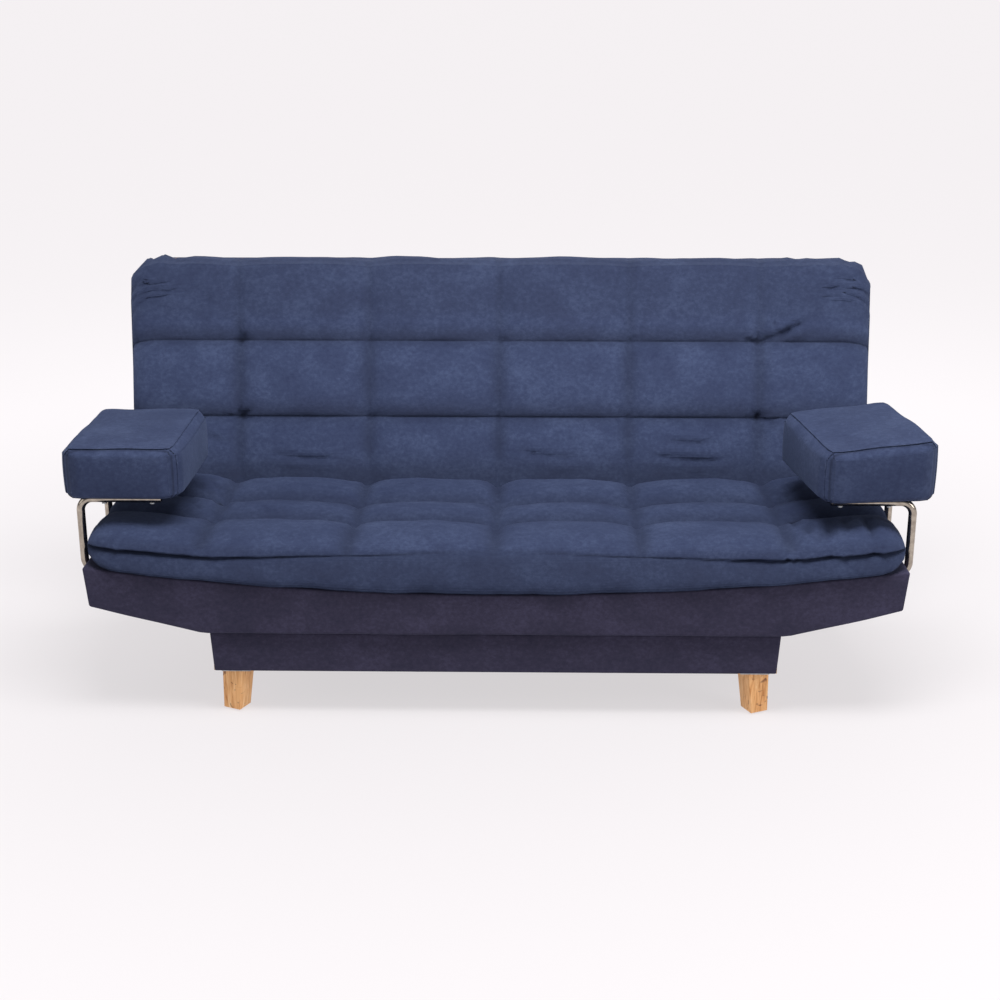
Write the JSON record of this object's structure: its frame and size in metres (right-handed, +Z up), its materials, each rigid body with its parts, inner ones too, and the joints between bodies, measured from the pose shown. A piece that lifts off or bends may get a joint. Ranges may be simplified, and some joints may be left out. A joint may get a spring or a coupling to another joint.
{
  "type": "futon sofa bed",
  "caption": "Click-clack futon sofa bed with a tufted boat-shaped seat, a reclining tufted back, tube-carried arm pads and a plinth on tapered wooden legs.",
  "frame": {"origin": "middle of the bounding box at floor level, with the back upright and the seat down", "axes": "+X along the length to the sitter's left, which is the viewer's right seen from the front; -Y is the front; +Z is up"},
  "size_m": [1.8779, 0.7797, 0.931],
  "materials": {
    "suede": "brushed microfibre suede, navy",
    "dust_cloth": "non-woven black cloth",
    "leg_wood": "oiled solid wood with knots",
    "frame_wood": "sawn pine",
    "chrome_tube": "polished plated tube",
    "zinc_steel": "zinc plated, pressed",
    "glide_plastic": "moulded black"
  },
  "bodies": {
    "base": {"plinth_front_rail": "frame_wood", "plinth_rear_rail": "frame_wood", "plinth_left_rail": "frame_wood", "plinth_right_rail": "frame_wood", "hinge_rail": "frame_wood", "corner_blocks": "frame_wood", "plinth_cover": "suede", "dust_cover": "dust_cloth", "leg_front_left": "leg_wood", "leg_front_right": "leg_wood", "leg_rear_left": "leg_wood", "leg_rear_right": "leg_wood", "leg_plates": "zinc_steel", "leg_bolts": "zinc_steel", "glides": "glide_plastic", "base_bracket_left": "zinc_steel", "base_bracket_right": "zinc_steel"},
    "seat": {"seat_front_rail": "frame_wood", "seat_rear_rail": "frame_wood", "seat_left_end": "frame_wood", "seat_right_end": "frame_wood", "seat_cross_rails": "frame_wood", "seat_slats": "frame_wood", "seat_frame_cover": "suede", "seat_cushion": "suede", "lift_plate_left": "zinc_steel", "lift_plate_right": "zinc_steel", "lift_pins": "zinc_steel", "seat_wing_left": "zinc_steel", "seat_wing_right": "zinc_steel", "recline_pins": "zinc_steel", "arm_sockets_left": "zinc_steel", "arm_sockets_right": "zinc_steel"},
    "back": {"back_top_rail": "frame_wood", "back_bottom_rail": "frame_wood", "back_left_rail": "frame_wood", "back_right_rail": "frame_wood", "back_slats": "frame_wood", "back_cushion": "suede", "back_cover": "suede", "back_wing_left": "zinc_steel", "back_wing_right": "zinc_steel"},
    "arm_left": {"arm_left_front_tube": "chrome_tube", "arm_left_rear_tube": "chrome_tube", "arm_left_plate": "zinc_steel", "arm_left_board": "frame_wood", "arm_left_screws": "zinc_steel", "arm_left_pad": "suede"},
    "arm_right": {"arm_right_front_tube": "chrome_tube", "arm_right_rear_tube": "chrome_tube", "arm_right_plate": "zinc_steel", "arm_right_board": "frame_wood", "arm_right_screws": "zinc_steel", "arm_right_pad": "suede"}
  },
  "joints": [
    {"name": "seat_lift", "type": "hinge", "parent": "base", "child": "seat", "pos_m": [0, 0.14662, 0.226], "axis": [-1, 0, 0], "range_deg": [0, 18]},
    {"name": "back_recline", "type": "hinge", "parent": "seat", "child": "back", "pos_m": [0, 0.14946, 0.365], "axis": [-1, 0, 0], "range_deg": [0, 77]},
    {"name": "arm_left_slide", "type": "slide", "parent": "seat", "child": "arm_left", "axis": [-1, 0, 0], "range_m": [0, 0.07]},
    {"name": "arm_right_slide", "type": "slide", "parent": "seat", "child": "arm_right", "axis": [1, 0, 0], "range_m": [0, 0.07]}
  ]
}
